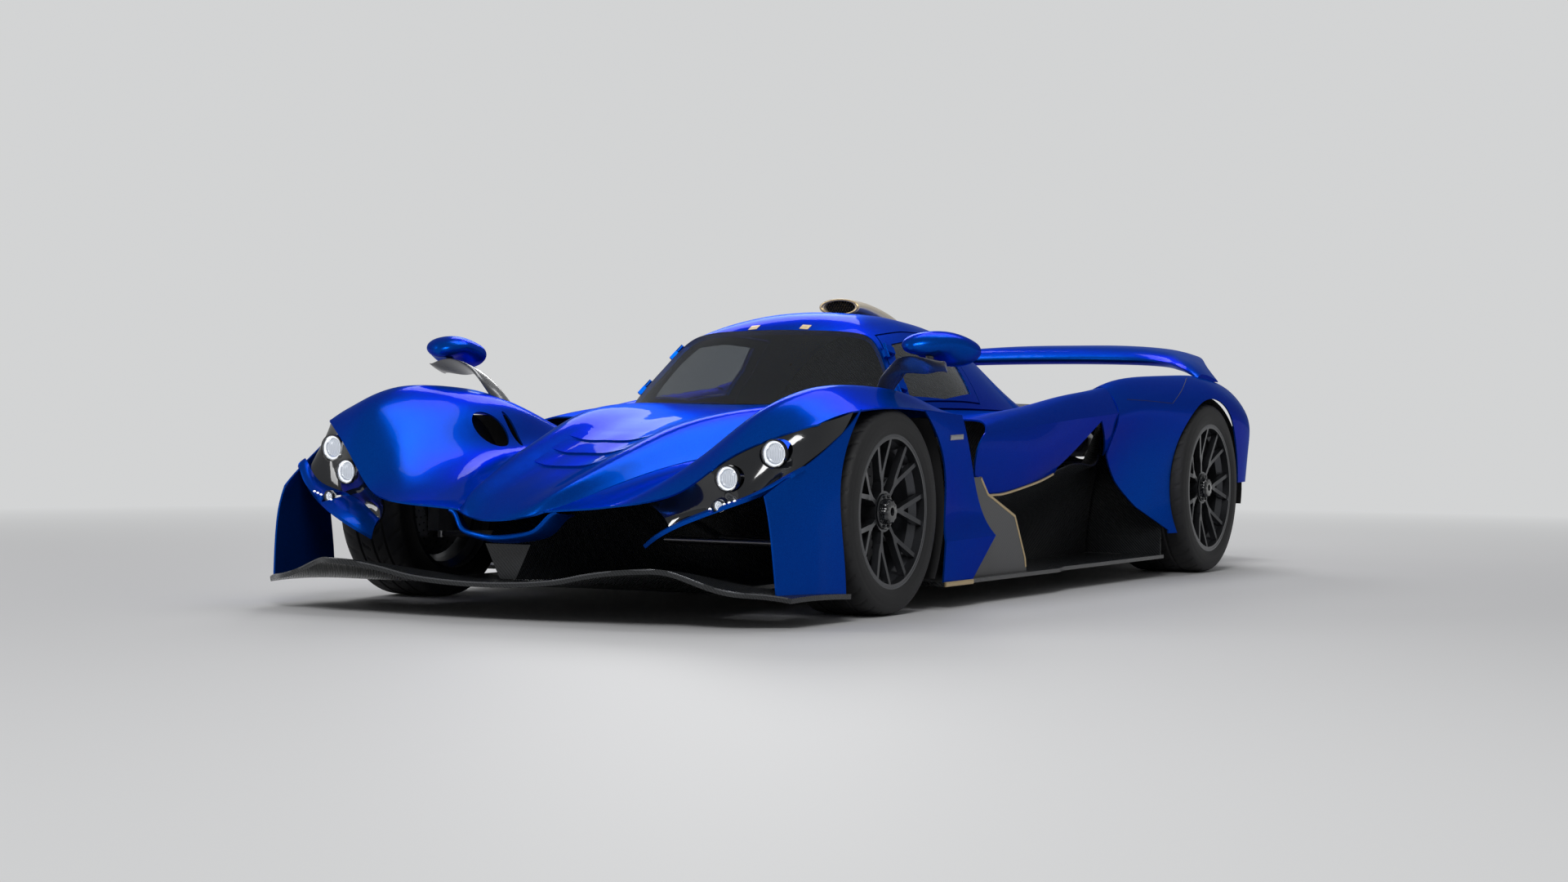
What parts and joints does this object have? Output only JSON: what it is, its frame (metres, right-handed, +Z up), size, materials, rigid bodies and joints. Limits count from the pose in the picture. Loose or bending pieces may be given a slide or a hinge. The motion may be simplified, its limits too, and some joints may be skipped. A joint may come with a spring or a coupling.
{
  "type": "hypercar",
  "caption": "Low closed two-seat track car with open nose channels, teardrop canopy, lifting doors, centre-lock wheels and a full-width rear wing.",
  "frame": {"origin": "on the ground, under the middle of the whole car's box", "axes": "+X to the car's left, +Y to the tail, +Z up"},
  "size_m": [2.1866, 5.1865, 1.0931],
  "materials": {
    "paint_blue": "gloss",
    "paint_gold": "satin",
    "paint_grey": "satin",
    "gloss_black": "gloss",
    "carbon": "satin",
    "glass": "gloss",
    "lamp_glass": "gloss",
    "lamp_red": "gloss",
    "alcantara": "matte",
    "cast_metal": "satin",
    "steel": "satin",
    "tyre": "matte",
    "wheel_metal": "satin"
  },
  "bodies": {
    "chassis": {"canopy": "paint_blue", "dashboard": "alcantara", "diffuser": "carbon", "engine_cover": "gloss_black", "exhaust": "steel", "floor": "carbon", "front_fender_left": "paint_blue", "front_fender_right": "paint_blue", "front_side_panels": "paint_blue", "front_suspension": "steel", "headlamps": "lamp_glass", "lamp_pods": "gloss_black", "mirror_arms": "paint_grey", "mirrors": "paint_blue", "nose": "paint_blue", "powertrain": "cast_metal", "rear_fascia": "gloss_black", "rear_fender_left": "paint_blue", "rear_fender_right": "paint_blue", "rear_suspension": "steel", "rear_wing": "paint_blue", "roof_scoop": "paint_gold", "seats": "alcantara", "side_ducts": "carbon", "sidepod_left": "paint_blue", "sidepod_right": "paint_blue", "splitter": "carbon", "tail_lamps": "lamp_red", "tub": "carbon", "windscreen": "glass"},
    "left_door": {"door_left": "paint_blue", "window_left": "glass"},
    "right_door": {"door_right": "paint_blue", "window_right": "glass"},
    "steering_yoke": {"steering_wheel": "alcantara"},
    "knuckle_left": {"upright_left": "cast_metal"},
    "knuckle_right": {"upright_right": "cast_metal"},
    "wheel_front_left": {"tyre_front_left": "tyre", "rim_front_left": "wheel_metal"},
    "wheel_front_right": {"tyre_front_right": "tyre", "rim_front_right": "wheel_metal"},
    "wheel_rear_left": {"tyre_rear_left": "tyre", "rim_rear_left": "wheel_metal"},
    "wheel_rear_right": {"tyre_rear_right": "tyre", "rim_rear_right": "wheel_metal"}
  },
  "joints": [
    {"name": "steer_left", "type": "hinge", "parent": "chassis", "child": "knuckle_left", "pos_m": [0.7855, -1.698, 0.334], "axis": [0, 0, 1], "range_deg": [-22, 22]},
    {"name": "steer_right", "type": "hinge", "parent": "chassis", "child": "knuckle_right", "pos_m": [-0.7855, -1.698, 0.334], "axis": [0, 0, 1], "range_deg": [-22, 22]},
    {"name": "spin_front_left", "type": "hinge", "parent": "knuckle_left", "child": "wheel_front_left", "pos_m": [0.8555, -1.698, 0.334], "axis": [1, 0, 0], "continuous": true},
    {"name": "spin_rear_left", "type": "hinge", "parent": "chassis", "child": "wheel_rear_left", "pos_m": [0.8475, 1.252, 0.3515], "axis": [1, 0, 0], "continuous": true},
    {"name": "hinge_door_left", "type": "hinge", "parent": "chassis", "child": "left_door", "pos_m": [0.55704, -0.7678, 0.70753], "axis": [0.4983, -0.4552, -0.7379], "range_deg": [0, 62]},
    {"name": "spin_front_right", "type": "hinge", "parent": "knuckle_right", "child": "wheel_front_right", "pos_m": [-0.8555, -1.698, 0.334], "axis": [1, 0, 0], "continuous": true},
    {"name": "spin_rear_right", "type": "hinge", "parent": "chassis", "child": "wheel_rear_right", "pos_m": [-0.8475, 1.252, 0.3515], "axis": [1, 0, 0], "continuous": true},
    {"name": "hinge_door_right", "type": "hinge", "parent": "chassis", "child": "right_door", "pos_m": [-0.55704, -0.7678, 0.70753], "axis": [0.4983, 0.4552, 0.7379], "range_deg": [0, 62]},
    {"name": "turn_yoke", "type": "hinge", "parent": "chassis", "child": "steering_yoke", "pos_m": [0.212, -0.6124, 0.64487], "axis": [0, 0.9272, 0.3746], "range_deg": [-176, 176]}
  ],
  "couplings": [
    {"joint": "steer_right", "follows": "steer_left", "ratio": 1},
    {"joint": "turn_yoke", "follows": "steer_left", "ratio": 8}
  ]
}
